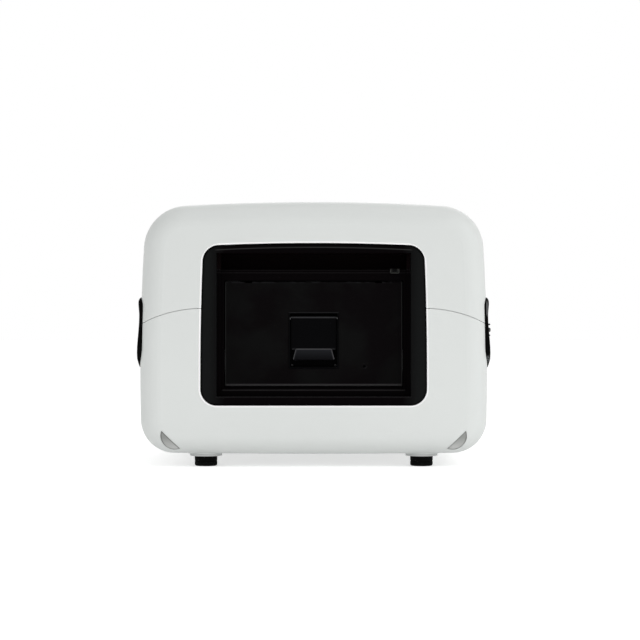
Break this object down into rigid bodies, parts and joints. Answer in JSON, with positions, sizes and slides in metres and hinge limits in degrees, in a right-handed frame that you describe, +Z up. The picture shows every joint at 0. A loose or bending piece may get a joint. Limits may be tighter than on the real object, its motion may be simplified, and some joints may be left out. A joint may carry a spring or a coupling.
{
  "type": "immunoassay analyzer",
  "caption": "Bench-top immunoassay analyzer with a rounded white casing, a black front bay closed by a sliding drawer with a flush pull latch, and hand grips at the sides.",
  "frame": {"origin": "middle of the footprint, on the surface that the feet stand on", "axes": "+Z up, the front with the drawer faces -Y, +X to the right seen from the front"},
  "size_m": [0.353, 0.3, 0.2647],
  "materials": {
    "white_casing": "fine satin moulded white",
    "rear_sheet": "light grey powder coat",
    "bezel_plastic": "satin black moulding",
    "bay_plastic": "matte black moulding",
    "drawer_plastic": "fine matte black",
    "tray_sheet": "black coated sheet",
    "rack_plastic": "grey moulding",
    "slide_black": "black zinc plated",
    "runner_steel": "zinc plated",
    "screw_steel": "plated",
    "spring_steel": "bright spring wire",
    "latch_plastic": "satin black moulding",
    "sensor_plastic": "dark moulding with worn pale edges",
    "reader_alloy": "grey anodised",
    "lens_glass": "clear",
    "rod_steel": "ground and polished",
    "motor_black": "black",
    "chassis_steel": "zinc plated",
    "board_green": "solder mask",
    "standoff_brass": "turned",
    "supply_case": "plain sheet",
    "fan_plastic": "black moulding",
    "guard_wire": "plated wire",
    "socket_plastic": "black moulding",
    "rocker_plastic": "smooth black",
    "port_shell": "plated sheet",
    "grip_rubber": "satin black",
    "stud_plastic": "smooth black",
    "inset_grey": "fine grained grey",
    "foot_rubber": "matte black",
    "collar_plastic": "pale grey moulding"
  },
  "bodies": {
    "casing": {"upper_shell": "white_casing", "lower_shell": "white_casing", "rear_panel": "rear_sheet", "front_bezel": "bezel_plastic", "bay_liner": "bay_plastic", "drawer_tunnel": "bay_plastic", "right_runner": "slide_black", "left_runner": "slide_black", "strike_plate": "runner_steel", "drawer_sensor": "sensor_plastic", "guide_rods": "rod_steel", "reader_motor": "motor_black", "base_plate": "chassis_steel", "right_bay_bracket": "chassis_steel", "left_bay_bracket": "chassis_steel", "main_board": "board_green", "board_standoffs": "standoff_brass", "power_supply": "supply_case", "fan_frame": "fan_plastic", "fan_guard": "guard_wire", "mains_inlet": "socket_plastic", "switch_frame": "socket_plastic", "data_ports": "port_shell", "right_grip": "grip_rubber", "left_grip": "grip_rubber", "grip_studs": "stud_plastic", "corner_insets": "inset_grey", "feet": "foot_rubber", "foot_collars": "collar_plastic", "foot_screws": "screw_steel", "panel_screws": "screw_steel"},
    "drawer": {"drawer_front": "drawer_plastic", "drawer_tray": "tray_sheet", "cartridge_rack": "rack_plastic", "right_slide": "slide_black", "left_slide": "slide_black", "drawer_screws": "screw_steel", "latch_cup": "latch_plastic", "latch_pin": "screw_steel", "bolt_strap": "runner_steel", "latch_rivets": "screw_steel", "latch_spring": "spring_steel"},
    "paddle": {"latch_paddle": "latch_plastic"},
    "bolt": {"latch_bolt": "runner_steel"},
    "reader": {"reader_head": "reader_alloy", "reader_lens": "lens_glass"},
    "lead_screw": {"lead_screw": "rod_steel"},
    "fan": {"fan_rotor": "fan_plastic"},
    "rocker": {"power_rocker": "rocker_plastic"}
  },
  "joints": [
    {"name": "drawer_slide", "type": "slide", "parent": "casing", "child": "drawer", "axis": [0, -1, 0], "range_m": [0, 0.14]},
    {"name": "paddle_hinge", "type": "hinge", "parent": "drawer", "child": "paddle", "pos_m": [0, -0.1255, 0.1485], "axis": [-1, 0, 0], "range_deg": [0, 28]},
    {"name": "bolt_slide", "type": "slide", "parent": "drawer", "child": "bolt", "axis": [0, 0, -1], "range_m": [0, 0.00855], "stiffness_N_per_m": 250, "springref_m": -0.004, "deforming": ["latch_spring"]},
    {"name": "reader_slide", "type": "slide", "parent": "casing", "child": "reader", "axis": [1, 0, 0], "range_m": [-0.055, 0.055]},
    {"name": "screw_spin", "type": "hinge", "parent": "casing", "child": "lead_screw", "pos_m": [0, 0, 0.1601], "axis": [1, 0, 0], "range_deg": [-1981, 1981]},
    {"name": "fan_spin", "type": "hinge", "parent": "casing", "child": "fan", "pos_m": [0.072, 0.145, 0.1447], "axis": [0, 1, 0], "continuous": true},
    {"name": "rocker_tilt", "type": "hinge", "parent": "casing", "child": "rocker", "pos_m": [-0.042, 0.1473, 0.0747], "axis": [-1, 0, 0], "range_deg": [0, 16]}
  ],
  "couplings": [
    {"joint": "paddle_hinge", "follows": "bolt_slide", "rad_per_m": 57.143},
    {"joint": "screw_spin", "follows": "reader_slide", "rad_per_m": 628.32}
  ]
}
